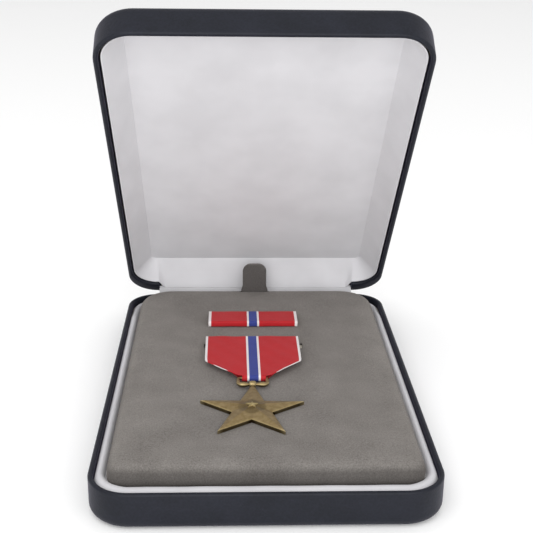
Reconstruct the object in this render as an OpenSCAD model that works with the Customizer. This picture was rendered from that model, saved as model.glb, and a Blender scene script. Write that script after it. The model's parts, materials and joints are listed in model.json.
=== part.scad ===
// Service medal set: a ribbon bar and a star pendant medal on a suede pad, in a hinged
// leatherette case. +X is to the right, +Y towards the hinge, +Z up; the origin is the
// centre of the case's underside.

/* [Case] */
// Width of the case
case_w = 108; // [100:1:130]
// Depth of each half, front to back
case_d = 158; // [150:1:190]
// Outer height of each half
half_h = 12.4; // [12:0.2:15]
// Radius of the case's corners, seen from above
corner_r = 13; // [10:0.5:16]
// Radius of the edge round the underside and round the lid's back
edge_r = 3.5; // [2:0.5:5]
// Thickness of the leatherette
skin_t = 0.5; // [0.4:0.1:0.8]
// Thickness of the pressed core's walls
core_t = 0.7; // [0.6:0.1:2]
// Thickness of the core's floor
floor_t = 1.0; // [0.8:0.1:1.4]
// Angle of the lid above the base
open_angle = 51; // [0:1:95]

/* [Hinge] */
// Distance of the hinge pin behind the case's rear faces
hinge_out = 1.0; // [0.8:0.1:1.4]
// Width of the gap in the rear rims that holds the hinge
hinge_w = 84; // [72:1:90]
// Radius of the hinge pin
hinge_pin_r = 0.8; // [0.6:0.1:0.9]
// Outer radius of the knuckles
knuckle_r = 1.5; // [1.3:0.1:1.6]
// Number of knuckles, lid and base together
knuckles = 9; // [5:2:13]
// Thickness of the hinge leaves
leaf_t = 0.5; // [0.4:0.1:0.6]

/* [Linings] */
// Thickness of the lid's white lining board
lining_t = 0.6; // [0.4:0.1:0.8]
// How far the lid's lining walls lean in from the rim to the panel
lining_lean = 7.5; // [4:0.1:8]
// Width of the lid's rear rail at its two corners
rear_rail = 5.4; // [4.5:0.1:6]
// Width of the white bead beside the pad
bead_w = 3.4; // [1.6:0.1:4]
// Width of the white bead in front of the pad
bead_front_w = 6.2; // [2:0.1:8]

/* [Pad] */
// Height of the pad above the rim
pad_rise = 4.1; // [2:0.1:5]
// Radius of the pad's top edge
pad_edge_r = 4; // [2:0.25:4]
// Radius of the pad's front corners
pad_front_r = 6; // [6:0.5:12]
// Radius of the pad's rear corners
pad_rear_r = 16.5; // [13:0.5:18]
// Distance from the hinge pin to the pad's rear edge
pad_from_hinge = 5.3; // [5.2:0.1:8]
// Thickness of the suede
suede_t = 0.6; // [0.4:0.1:0.8]
// Thickness of the pad's board
board_t = 1.5; // [1:0.1:2]
// Height of the pad's side
pad_h = 8.1; // [7:0.1:9]
// Width of the pull tab
tab_w = 10; // [8:0.5:14]
// Thickness of the pull tab
tab_t = 1.2; // [0.8:0.1:1.4]
// Length of the pull tab above its bend
tab_len = 11.5; // [8:0.5:12]
// Distance from the hinge pin to the pull tab
tab_from_hinge = 8.7; // [8.6:0.1:10]

/* [Ribbon bar] */
// Width of the ribbon bar
bar_w = 34.9; // [30:0.1:40]
// Height of the ribbon bar
bar_h = 11; // [8:0.1:12]
// Thickness of the ribbon bar
bar_t = 2.3; // [1.6:0.1:2.4]
// Distance from the hinge pin to the middle of the ribbon bar
bar_from_hinge = 42; // [36:0.25:46]
// Distance of the ribbon bar from the case's centre line
bar_x = -2.1; // [-6:0.1:6]
// Spacing of the ribbon bar's two posts
post_gap = 18; // [14:1:22]
// Radius of the posts
post_r = 0.6; // [0.5:0.05:0.7]
// Radius of a clutch
clutch_r = 5; // [4:0.25:6]
// Height of a clutch
clutch_h = 3; // [2.6:0.1:3.2]

/* [Medal] */
// Width of the ribbon
ribbon_w = 34.8; // [30:0.1:40]
// Thickness of the ribbon
ribbon_t = 0.5; // [0.3:0.05:0.6]
// Distance from the hinge pin to the top of the ribbon
ribbon_from_hinge = 61.2; // [54:0.1:63]
// Length of the ribbon's straight sides
ribbon_side = 22.5; // [12:0.5:24]
// Length of the ribbon, top edge to the loop's upper bar
ribbon_len = 33.6; // [32:0.1:38]
// Width of the ribbon where it meets the loop
ribbon_neck_w = 11.5; // [10:0.1:14]
// Distance of the ribbon from the case's centre line
ribbon_x = -2.8; // [-6:0.1:6]
// Width of the brooch plate behind the ribbon
brooch_w = 33.6; // [30:0.1:34]
// Length of the pin
pin_len = 28; // [24:0.5:30]
// Radius of the pin
pin_r = 0.45; // [0.35:0.05:0.5]
// Width between the centres of the loop's side bars
loop_w = 10; // [9.5:0.1:12]
// Distance between the centres of the loop's upper and lower bars
loop_h = 5; // [4.5:0.1:6]
// Radius of the loop's wire
wire_r = 0.6; // [0.4:0.05:0.65]
// Distance from the star's centre to a point
star_r = 18.2; // [15:0.1:22]
// Height of the star's centre above its back
star_h = 2.8; // [1.8:0.1:3.2]
// Height of the star's edge
star_edge = 1.4; // [0.6:0.1:1.8]
// Turn of the star about the loop
star_turn = -1.8; // [-4:0.1:4]

/* [Hidden] */
$fn = 64;

// Clearances
rim_gap = 0.3;          // between the two rims when the case is shut
fit_gap = 0.1;          // between pieces that are laid or pressed together
run_gap = 0.05;         // round a pin that turns
slip_gap = 0.2;         // between the pad and what surrounds it
cut = 0.05;             // how far a cut runs past the face that it opens

// Case
lip = 2 * skin_t + core_t;
turn_in = 3;
rail_t = 1.2;
inner_r = corner_r - lip;
rim_z = half_h;
front_y = -case_d / 2;
rear_y = case_d / 2;
hinge_y = rear_y + hinge_out;
hinge_z = rim_z + rim_gap / 2;
case_floor_z = skin_t + floor_t;

// Hinge
recess_drop = knuckle_r + slip_gap;
leaf_reach = 8.5;
hinge_span = min(hinge_w, case_w - 2 * corner_r + 2); // clear of the round corners
leaf_w = hinge_span - 2;
knuckle_pitch = leaf_w / knuckles;
knuckle_len = knuckle_pitch - 2 * fit_gap;
leaf_y = rear_y - skin_t - core_t;
strip_y = hinge_y - knuckle_r - 2 * slip_gap;
spring_wire = 0.25;
spring_turns = 6;
spring_pitch = 2 * spring_wire + 0.1;
spring_knuckle = 2;     // the knuckle, counted from each end, that a spring stands in for
spring_x = (knuckles / 2 - spring_knuckle - 0.5) * knuckle_pitch;

// Lid linings: depths are measured from the lid's rim
panel_depth = half_h - skin_t - floor_t - lining_t;
panel_front_y = front_y + lip + lining_lean;
rear_lean = lining_lean - 2.1;
panel_rear_y = rear_y - rear_rail - rear_lean;
panel_half_w = case_w / 2 - lip - lining_lean;
panel_r = 2;
apron_rear_y = leaf_y - leaf_t - slip_gap;
apron_depth = 0.6;
sheet = 0.1;            // thickness of the outlines that the lining's form spans

// Base lining
bead_drop = 0.6;        // from the rim to the top of the bead
bead_r = 1;

// Pad
pad_w = case_w - 2 * (lip + bead_w + slip_gap);
pad_front_y = front_y + lip + bead_front_w + slip_gap;
pad_rear_y = hinge_y - pad_from_hinge;
pad_top_z = rim_z + pad_rise;
pad_low_z = pad_top_z - pad_h;
riser_t = 2;
riser_in = 3;
tab_y = hinge_y - tab_from_hinge;
tab_x = -0.7;
tab_bend_z = pad_top_z + tab_t / 2 + slip_gap;
tab_tail_z = pad_low_z + board_t + fit_gap;

// Ribbon bar
bar_y = hinge_y - bar_from_hinge;
bar_z = pad_top_z + fit_gap;
bar_plate_t = 0.8;
bar_plate_in = 0.4;     // from the ribbon's end to the plate's end
clutch_z = pad_low_z - fit_gap - clutch_h;
clutch_rim_t = 0.8;
clutch_hub_r = clutch_r / 2 + 0.1;
clutch_wing_r = 0.9;    // the rolled wings that are squeezed to release the clutch
clutch_wing_x = clutch_hub_r + 0.5;
clutch_wing_len = 4;

// Medal
lay_z = pad_top_z + fit_gap + 0.1;
loop_z = lay_z + wire_r + fit_gap + ribbon_t;
face_z = loop_z + wire_r + fit_gap;
brooch_t = 0.8;
brooch_z = face_z - fit_gap - brooch_t;
brooch_h = 6.6;
ribbon_y = hinge_y - ribbon_from_hinge;
brooch_y = ribbon_y - ribbon_t - fit_gap - brooch_h / 2;
pin_z = brooch_z - 2.4;
pin_y = brooch_y;
pin_x = ribbon_x - pin_len / 2;
ear_w = 2.6;
ear_gap = 1.1;
ear_r = 1.2;
ear_roof = 0.7;
eye_r = 1.05;
rivet_r = 0.5;
rivet_head = 0.2;
catch_r = 1.7;
lock_r = 1.1;
lock_hole_r = pin_r + 0.15;
catch_len = 2.4;
catch_x = pin_x + pin_len - catch_len - 0.8;
lever_w = 0.8;
loop_x = ribbon_x - 0.5;
loop_top_y = ribbon_y - ribbon_len;
loop_low_y = loop_top_y - loop_h;
fold_w = loop_w - 2 * wire_r - 2 * slip_gap;
neck_drop = 0.8;        // from the end of the taper to the loop's upper bar
tuck = 1.6;             // how far the ribbon's top is folded in behind the brooch plate
eyelet_r = 1.25;
eyelet_w = 1.8;
star_x = loop_x - 0.1;
star_drop = star_r - 0.7;
tip_cut = 0.9;          // how far below the loop's lower bar the top point is cut off
mid_star_r = 2.6;
mid_star_edge = 0.35;
mid_star_h = 0.9;
slot_w = pin_len + 8;
slot_h = ear_w + 1.6;

// ---------------------------------------------------------------- shapes

// Outline of a block's vertical section from its middle to a rounded top edge.
module edge_profile(reach, h, e) {
    union() {
        square([reach, h - e]);
        square([reach - e, h]);
        intersection() {
            translate([reach - e, h - e]) circle(e);
            square([reach, h]);
        }
    }
}

// A quarter of a turned corner, with its rounded edge at the top.
module block_corner(r, h, e, turn) {
    rotate([0, 0, turn]) rotate_extrude(angle = 90) edge_profile(r, h, e);
}

// A block from y0 to y1 with rounded corners and a rounded top edge: rf is the radius of
// the front corners and rr of the rear ones.
module soft_block(w, y0, y1, h, rf, rr, e) {
    for (side = [-1, 1]) {
        translate([side * (w / 2 - rf), y0 + rf, 0])
            block_corner(rf, h, e, side < 0 ? 180 : 270);
        translate([side * (w / 2 - rr), y1 - rr, 0])
            block_corner(rr, h, e, side < 0 ? 90 : 0);
    }
    translate([0, y1 - rr, 0]) rotate([90, 0, 0]) linear_extrude(y1 - rr - y0 - rf) {
        edge_profile(w / 2, h, e);
        mirror([1, 0]) edge_profile(w / 2, h, e);
    }
    translate([rf - w / 2, y0 + rf, 0]) rotate([90, 0, 90]) linear_extrude(w - 2 * rf)
        mirror([1, 0]) edge_profile(rf, h, e);
    translate([rr - w / 2, y1 - rr, 0]) rotate([90, 0, 90]) linear_extrude(w - 2 * rr)
        edge_profile(rr, h, e);
}

// Plate with round corners, from y0 to y1 and centred on X; rear_r is the radius of the
// rear corners, where it differs.
module plate(w, y0, y1, r, t, rear_r = 0) {
    rr = rear_r > 0 ? rear_r : r;
    linear_extrude(t) union() {
        translate([-w / 2, y0 + r]) square([w, y1 - rr - y0 - r]);
        translate([r - w / 2, y0]) square([w - 2 * r, r + cut]);
        translate([rr - w / 2, y1 - rr - cut]) square([w - 2 * rr, rr + cut]);
        for (side = [-1, 1]) {
            translate([side * (w / 2 - r), y0 + r]) circle(r);
            translate([side * (w / 2 - rr), y1 - rr]) circle(rr);
        }
    }
}

// Outer form of one half, inset by an amount on every face but the rim.
module half_form(inset, top) {
    translate([0, 0, top]) mirror([0, 0, 1])
        soft_block(case_w - 2 * inset, front_y + inset, rear_y - inset, top - inset,
                   corner_r - inset, corner_r - inset, max(edge_r - inset, 0.5));
}

// Gap in the rear rim for the hinge.
module recess(depth, drop) {
    translate([-hinge_span / 2, rear_y - depth, rim_z - drop])
        cube([hinge_span, depth + hinge_out, drop + cut]);
}

// Leatherette over one half: outside, over the rim and a little way down inside.
module cover(rear) {
    difference() {
        half_form(0, half_h);
        half_form(skin_t, half_h - skin_t);
        translate([0, 0, rim_z - 2 * skin_t])
            plate(case_w - 2 * lip, front_y + lip, rear_y - rear, inner_r, 2 * skin_t + cut);
        recess(rear + cut, recess_drop);
    }
    difference() {
        translate([0, 0, rim_z - turn_in])
            plate(case_w - 2 * (lip - skin_t), front_y + lip - skin_t,
                  rear_y - rear + skin_t, inner_r + skin_t, turn_in - skin_t / 2);
        translate([0, 0, rim_z - turn_in - cut])
            plate(case_w - 2 * lip, front_y + lip, rear_y - rear, inner_r, turn_in + 2 * cut);
        recess(rear + cut, turn_in + cut);
    }
}

// Rigid core of one half: floor, walls and, in the lid, a wider rail at the rear.
module shell(rear) {
    inset = skin_t + fit_gap / 2;
    wall = lip - skin_t - fit_gap / 2;
    difference() {
        half_form(inset, half_h - inset);
        translate([0, 0, case_floor_z])
            plate(case_w - 2 * wall, front_y + wall, rear_y - wall, inner_r + skin_t, half_h);
        recess(rear + cut, recess_drop);
    }
    if (rear > lip) for (side = [0, 1]) mirror([side, 0, 0])
        intersection() {
            translate([0, 0, rim_z - skin_t - rail_t])
                plate(case_w - 2 * wall + 2 * fit_gap, front_y, rear_y - wall + 2 * fit_gap,
                      inner_r + skin_t, rail_t - fit_gap);
            translate([hinge_span / 2, rear_y - rear + skin_t + fit_gap / 2, 0])
                cube([case_w, rear, half_h]);
        }
}

// Everything on the lid is drawn on the base's side of the rim plane, turned over, and
// swung about the hinge pin.
module on_lid() {
    translate([0, hinge_y, hinge_z]) rotate([-open_angle, 0, 0])
        mirror([0, 0, 1]) translate([0, -hinge_y, -hinge_z]) children();
}

// One hinge leaf with every second knuckle; odd says which ones it has.
module hinge_leaf(odd) {
    w = leaf_w;
    strip_z = hinge_z - knuckle_r;
    difference() {
        union() {
            translate([-w / 2, leaf_y - leaf_t, rim_z - leaf_reach])
                cube([w, leaf_t, leaf_reach + strip_z - rim_z + leaf_t]);
            translate([-w / 2, leaf_y - cut, strip_z]) cube([w, strip_y - leaf_y + cut, leaf_t]);
            for (i = [0 : knuckles - 1])
                if (i % 2 == odd && i != spring_knuckle && i != knuckles - 1 - spring_knuckle) {
                x = -w / 2 + i * knuckle_pitch + fit_gap;
                translate([x, hinge_y, hinge_z]) rotate([0, 90, 0])
                    cylinder(r = knuckle_r, h = knuckle_len);
                translate([x, strip_y - cut, strip_z])
                    cube([knuckle_len, hinge_y - strip_y + cut, leaf_t]);
            }
        }
        translate([-w / 2 - 1, hinge_y, hinge_z]) rotate([0, 90, 0])
            cylinder(r = hinge_pin_r + run_gap, h = w + 2);
    }
}

// Rings of points that sweep a round wire along a helix about X.
function coil_ring(a, r, wire, pitch) = [for (k = [0 : 4])
    let (b = k * 72) [a * pitch / 360 + wire * sin(b),
                      (r + wire * cos(b)) * cos(a), (r + wire * cos(b)) * sin(a)]];

module coil(r, wire, pitch, turns) {
    steps = turns * 12;
    rings = [for (i = [0 : steps]) each coil_ring(i * 30, r, wire, pitch)];
    sides = [for (i = [0 : steps - 1], k = [0 : 4])
        [i * 5 + k, i * 5 + (k + 1) % 5, (i + 1) * 5 + (k + 1) % 5, (i + 1) * 5 + k]];
    polyhedron(rings, concat([[4, 3, 2, 1, 0]], sides, [[for (k = [0 : 4]) steps * 5 + k]]));
}

// A five-pointed star whose rays rise to ridges that meet at its centre.
function star_point(i, r) = let (d = i % 2 == 0 ? r : r * 0.382, a = 90 + i * 36)
    [d * cos(a), d * sin(a)];

module ridged_star(r, edge, top) {
    low = [for (i = [0 : 9]) concat(star_point(i, r), 0)];
    high = [for (i = [0 : 9]) concat(star_point(i, r), edge)];
    polyhedron(concat(low, high, [[0, 0, top]]), concat(
        [[for (i = [0 : 9]) i]],
        [for (i = [0 : 9]) [i, 10 + i, 10 + (i + 1) % 10, (i + 1) % 10]],
        [for (i = [0 : 9]) [10 + i, 20, 10 + (i + 1) % 10]]));
}

// Openings that the pin, the posts and the tab's tail pass through in the pad.
module pad_holes() {
    translate([ribbon_x - slot_w / 2, pin_y - slot_h / 2, pad_low_z - 1])
        cube([slot_w, slot_h, pad_h + 2]);
    for (side = [-1, 1]) translate([bar_x + side * post_gap / 2, bar_y, pad_low_z - 1])
        cylinder(r = post_r + fit_gap, h = pad_h + 2, $fn = 32);
}

module tab_hole() {
    translate([tab_x - tab_w / 2 - fit_gap, tab_y - tab_t / 2 - fit_gap, tab_tail_z - fit_gap])
        cube([tab_w + 2 * fit_gap, tab_t + 2 * fit_gap, pad_h + 2]);
}

module clutch(side) {
    translate([bar_x + side * post_gap / 2, bar_y, clutch_z]) difference() {
        union() {
            translate([0, 0, clutch_h - clutch_rim_t]) cylinder(r = clutch_r, h = clutch_rim_t);
            cylinder(r = clutch_hub_r, h = clutch_h);
            for (wing = [-1, 1]) translate([wing * clutch_wing_x, 0, clutch_wing_r])
                rotate([90, 0, 0]) translate([0, 0, -clutch_wing_len / 2])
                    cylinder(r = clutch_wing_r, h = clutch_wing_len, $fn = 32);
        }
        translate([0, 0, -1]) cylinder(r = post_r + run_gap, h = clutch_h + 2, $fn = 32);
    }
}

// ---------------------------------------------------------------- case

module base_cover() { color("#30333f") cover(lip); }

module base_shell() { color("#c9c2b4") shell(lip); }

module base_lining() {
    color("#e8e8ee") difference() {
        translate([0, 0, case_floor_z])
            soft_block(case_w - 2 * lip - 2 * fit_gap, front_y + lip + fit_gap,
                       rear_y - lip - fit_gap, half_h - case_floor_z - bead_drop,
                       inner_r, inner_r, bead_r);
        translate([0, 0, case_floor_z - cut])
            plate(pad_w + 2 * slip_gap, pad_front_y - slip_gap, pad_rear_y + slip_gap,
                  pad_front_r, half_h);
        translate([-hinge_span / 2 - 1, leaf_y - leaf_t - fit_gap, case_floor_z - cut])
            cube([hinge_span + 2, lip, half_h]);
    }
}

module base_riser() {
    color("#b9a78a") difference() {
        translate([0, 0, case_floor_z])
            plate(pad_w - 2 * riser_in, pad_front_y + riser_in, pad_rear_y - riser_in,
                  pad_front_r - riser_in, pad_low_z - case_floor_z - fit_gap);
        translate([0, 0, case_floor_z - cut])
            plate(pad_w - 2 * (riser_in + riser_t), pad_front_y + riser_in + riser_t,
                  pad_rear_y - riser_in - riser_t, pad_front_r - riser_in - riser_t, half_h);
    }
}

module hinge_leaf_base() { color("#b8a46a") hinge_leaf(0); }

module hinge_pin() {
    color("#c0b070") translate([-leaf_w / 2, hinge_y, hinge_z]) rotate([0, 90, 0])
        cylinder(r = hinge_pin_r, h = leaf_w);
}

// Two torsion springs on the pin, one at each end of the leaves.
module hinge_spring() {
    color("#9a9a9a") for (end = [-1, 1])
        translate([end * spring_x - spring_turns * spring_pitch / 2, hinge_y, hinge_z])
            coil(hinge_pin_r + fit_gap + spring_wire, spring_wire, spring_pitch, spring_turns);
}

module lid_cover() { color("#30333f") on_lid() cover(rear_rail); }

module lid_shell() { color("#c9c2b4") on_lid() shell(rear_rail); }

// The lining's hollow, or its outer form when t is its thickness: a tray with leaning
// walls, and an apron that leads down past the hinge.
module lining_form(t) {
    low = rim_z - panel_depth - (t > 0 ? 0 : cut);
    gap = lip + fit_gap + lining_t - t;
    rear = rear_y - rear_rail - fit_gap - lining_t + t;
    apron_w = leaf_w - 2 * fit_gap - 2 * lining_t + 2 * t;
    apron_y = apron_rear_y - lining_t + t;
    hull() {
        translate([0, 0, rim_z - fit_gap])
            plate(case_w - 2 * gap, front_y + gap, rear, inner_r, sheet);
        translate([0, 0, low])
            plate(2 * (panel_half_w + t), panel_front_y - t, panel_rear_y + t, panel_r, sheet);
    }
    hull() {
        translate([-apron_w / 2, 0, rim_z - apron_depth - sheet])
            cube([apron_w, apron_y, sheet]);
        translate([panel_r - panel_half_w, 0, low])
            cube([2 * (panel_half_w - panel_r), panel_rear_y + t, sheet]);
    }
    if (t == 0) translate([-apron_w / 2, 0, rim_z - apron_depth - cut])
        cube([apron_w, apron_y, 2]);
}

module lid_lining() {
    color("#e6e6ec") on_lid() difference() {
        lining_form(lining_t);
        lining_form(0);
    }
}

module lid_panel() {
    color("#dededf") on_lid() translate([0, 0, rim_z - panel_depth - lining_t])
        plate(2 * panel_half_w, panel_front_y, panel_rear_y, panel_r, lining_t - fit_gap / 2);
}

module hinge_leaf_lid() { color("#b8a46a") on_lid() hinge_leaf(1); }

// ---------------------------------------------------------------- pad

module pad_board() {
    color("#bdb2a0") difference() {
        translate([0, 0, pad_low_z])
            plate(pad_w - 2 * (suede_t + fit_gap), pad_front_y + suede_t + fit_gap,
                  pad_rear_y - suede_t - fit_gap, pad_front_r - suede_t, board_t,
                  pad_rear_r - suede_t);
        pad_holes();
    }
}

// The pad's form, inset by an amount from its sides and its top.
module pad_form(inset, z) {
    translate([0, 0, z])
        soft_block(pad_w - 2 * inset, pad_front_y + inset, pad_rear_y - inset,
                   pad_top_z - inset - z, pad_front_r - inset, pad_rear_r - inset,
                   pad_edge_r - inset);
}

module pad_foam() {
    color("#d8d4c8") difference() {
        pad_form(suede_t + fit_gap, pad_low_z + board_t + fit_gap);
        pad_holes();
        tab_hole();
    }
}

module pad_cover() {
    color("#7d7874") difference() {
        pad_form(0, pad_low_z);
        pad_form(suede_t, pad_low_z - cut);
        pad_holes();
        tab_hole();
    }
}

module pull_tab_tail() {
    color("#74706c") translate([tab_x - tab_w / 2, tab_y - tab_t / 2, tab_tail_z])
        cube([tab_w, tab_t, tab_bend_z - tab_t / 2 - fit_gap - tab_tail_z]);
}

module pull_tab() {
    color("#74706c") translate([tab_x, tab_y + tab_t / 2, tab_bend_z]) {
        rotate([90, 0, 0]) linear_extrude(tab_t) {
            translate([-tab_w / 2, 0]) square([tab_w, tab_len - tab_w / 4]);
            translate([-tab_w / 4, 0]) square([tab_w / 2, tab_len]);
            for (side = [-1, 1]) translate([side * tab_w / 4, tab_len - tab_w / 4])
                circle(tab_w / 4);
        }
        translate([-tab_w / 2, -tab_t / 2, 0]) rotate([0, 90, 0])
            cylinder(r = tab_t / 2, h = tab_w);
    }
}

// ---------------------------------------------------------------- ribbon bar

module bar_plate_form(grow) {
    translate([bar_x - bar_w / 2 + bar_plate_in - grow, bar_y - bar_h / 2 + ribbon_t + fit_gap - grow,
               bar_z + ribbon_t + fit_gap - grow])
        cube([bar_w - 2 * bar_plate_in + 2 * grow, bar_h - 2 * (ribbon_t + fit_gap) + 2 * grow,
              bar_plate_t + 2 * grow]);
}

module ribbon_bar_plate() {
    color("#b08d4a") {
        bar_plate_form(0);
        for (side = [-1, 1]) translate([bar_x + side * post_gap / 2, bar_y, clutch_z])
            cylinder(r = post_r, h = bar_z + ribbon_t + bar_plate_t - clutch_z, $fn = 32);
    }
}

module ribbon_bar_ribbon() {
    color("#b22234") difference() {
        translate([bar_x - bar_w / 2, bar_y, bar_z + bar_t / 2]) rotate([90, 0, 90])
            linear_extrude(bar_w) {
                square([bar_h - bar_t, bar_t], center = true);
                for (side = [-1, 1]) translate([side * (bar_h - bar_t) / 2, 0])
                    circle(bar_t / 2);
            }
        translate([-fit_gap, 0, 0]) bar_plate_form(fit_gap / 2);
        translate([fit_gap, 0, 0]) bar_plate_form(fit_gap / 2);
        translate([bar_x - bar_w / 2 - 1, bar_y - bar_h / 2 + bar_t, bar_z - 1])
            cube([bar_w + 2, bar_h - 2 * bar_t, 1 + ribbon_t + fit_gap]);
    }
}

module clutch_left() { color("#c8a95a") clutch(-1); }

module clutch_right() { color("#c8a95a") clutch(1); }

// ---------------------------------------------------------------- medal

module brooch_plate() {
    color("#b08d4a") translate([ribbon_x - brooch_w / 2, brooch_y - brooch_h / 2, brooch_z])
        cube([brooch_w, brooch_h, brooch_t]);
}

module pin_joint() {
    color("#b08d4a") difference() {
        union() {
            translate([pin_x - ear_r, pin_y - ear_w / 2, pin_z])
                cube([2 * ear_r, ear_w, brooch_z - pin_z]);
            translate([pin_x, pin_y + ear_w / 2, pin_z]) rotate([90, 0, 0])
                cylinder(r = ear_r, h = ear_w);
        }
        translate([pin_x - 2, pin_y - ear_gap / 2, pin_z - 2])
            cube([4, ear_gap, 2 + brooch_z - pin_z - ear_roof]);
        translate([pin_x, pin_y + ear_w, pin_z]) rotate([90, 0, 0])
            cylinder(r = rivet_r, h = 2 * ear_w);
    }
}

module pin_rivet() {
    color("#8d7038") translate([pin_x, pin_y + ear_w / 2 + rivet_head, pin_z])
        rotate([90, 0, 0]) cylinder(r = rivet_r, h = ear_w + 2 * rivet_head);
}

module pin_stem() {
    color("#c9c9c9") difference() {
        union() {
            translate([pin_x, pin_y, pin_z]) rotate([0, 90, 0]) cylinder(r = pin_r, h = pin_len);
            translate([pin_x, pin_y + ear_gap / 2 - fit_gap, pin_z]) rotate([90, 0, 0])
                cylinder(r = eye_r, h = ear_gap - 2 * fit_gap);
        }
        translate([pin_x, pin_y + 2, pin_z]) rotate([90, 0, 0])
            cylinder(r = rivet_r + run_gap, h = 4);
    }
}

module catch_housing() {
    color("#b08d4a") difference() {
        union() {
            translate([catch_x, pin_y, pin_z]) rotate([0, 90, 0])
                cylinder(r = catch_r, h = catch_len);
            translate([catch_x, pin_y - 1, pin_z]) cube([catch_len, 2, brooch_z - pin_z]);
        }
        translate([catch_x - 1, pin_y, pin_z]) rotate([0, 90, 0])
            cylinder(r = lock_r + run_gap, h = catch_len + 2);
        translate([catch_x - 1, pin_y - pin_r - 0.2, pin_z - 3])
            cube([catch_len + 2, 2 * pin_r + 0.4, 3]);
    }
}

module catch_lock() {
    color("#c8a95a") difference() {
        union() {
            translate([catch_x - 0.5, pin_y, pin_z]) rotate([0, 90, 0])
                cylinder(r = lock_r, h = catch_len + 1);
            translate([catch_x - 0.5 - lever_w, pin_y, pin_z]) rotate([0, 90, 0])
                cylinder(r = catch_r, h = lever_w);
        }
        translate([catch_x - 2, pin_y, pin_z]) rotate([0, 90, 0])
            cylinder(r = lock_hole_r, h = catch_len + 4);
        translate([catch_x - 2, pin_y - lock_hole_r, pin_z - 3])
            cube([catch_len + 4, 2 * lock_hole_r, 3]);
    }
}

// The ribbon's outline: straight sides, then tapering to the loop.
module ribbon_outline() {
    half = ribbon_w / 2;
    neck = ribbon_neck_w / 2;
    polygon([[-half, 0], [half, 0], [half, -ribbon_side], [neck, neck_drop - ribbon_len],
             [-neck, neck_drop - ribbon_len], [-half, -ribbon_side]]);
}

module ribbon_drape() {
    color("#b22234") {
        difference() {
            union() {
                translate([ribbon_x, ribbon_y, face_z]) linear_extrude(ribbon_t)
                    ribbon_outline();
                translate([loop_x - fold_w / 2, loop_top_y, face_z])
                    cube([fold_w, 2 * neck_drop, ribbon_t]);
                translate([loop_x - fold_w / 2, loop_top_y, loop_z]) rotate([0, 90, 0])
                    cylinder(r = face_z + ribbon_t - loop_z, h = fold_w);
            }
            translate([loop_x - loop_w, loop_top_y, loop_z]) rotate([0, 90, 0])
                cylinder(r = wire_r + fit_gap, h = 2 * loop_w);
        }
        translate([ribbon_x - ribbon_w / 2, ribbon_y - ribbon_t, brooch_z - fit_gap - ribbon_t])
            cube([ribbon_w, ribbon_t, face_z - brooch_z + fit_gap + 1.5 * ribbon_t]);
        translate([ribbon_x - ribbon_w / 2, ribbon_y - tuck, brooch_z - fit_gap - ribbon_t])
            cube([ribbon_w, tuck, ribbon_t]);
    }
}

module suspension_loop() {
    color("#a08248") translate([loop_x, 0, loop_z]) {
        for (y = [loop_top_y, loop_low_y]) translate([-loop_w / 2, y, 0])
            rotate([0, 90, 0]) cylinder(r = wire_r, h = loop_w, $fn = 32);
        for (side = [-1, 1]) translate([side * loop_w / 2, loop_top_y, 0]) {
            rotate([90, 0, 0]) cylinder(r = wire_r, h = loop_h, $fn = 32);
            sphere(wire_r, $fn = 32);
            translate([0, -loop_h, 0]) sphere(wire_r, $fn = 32);
        }
    }
}

module star_pendant() {
    color("#8f7a45") difference() {
        union() {
            difference() {
                translate([star_x, loop_low_y, lay_z]) rotate([0, 0, star_turn])
                    translate([0, -star_drop, 0]) {
                        ridged_star(star_r, star_edge, star_h);
                        translate([0, 0, star_h - 0.5])
                            ridged_star(mid_star_r, mid_star_edge, mid_star_h);
                    }
                translate([star_x - loop_w / 2, loop_low_y - tip_cut, lay_z - 1])
                    cube([loop_w, loop_w / 2, star_h + 2]);
            }
            translate([star_x - eyelet_w / 2, loop_low_y, loop_z]) rotate([0, 90, 0])
                cylinder(r = eyelet_r, h = eyelet_w, $fn = 48);
        }
        translate([star_x - loop_w / 2, loop_low_y, loop_z]) rotate([0, 90, 0])
            cylinder(r = wire_r + 2 * run_gap, h = loop_w, $fn = 48);
    }
}

base_cover();
base_shell();
base_lining();
base_riser();
hinge_leaf_base();
hinge_pin();
hinge_spring();
lid_cover();
lid_shell();
lid_lining();
lid_panel();
hinge_leaf_lid();
pad_board();
pad_foam();
pad_cover();
pull_tab_tail();
pull_tab();
ribbon_bar_plate();
ribbon_bar_ribbon();
clutch_left();
clutch_right();
brooch_plate();
pin_joint();
pin_rivet();
catch_housing();
catch_lock();
pin_stem();
ribbon_drape();
suspension_loop();
star_pendant();
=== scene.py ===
"""A service medal set: star medal and ribbon bar on a suede pad, in a hinged leatherette case."""

import json
import math

import bmesh
import bpy
import numpy as np
from mathutils import Matrix, Vector


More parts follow.
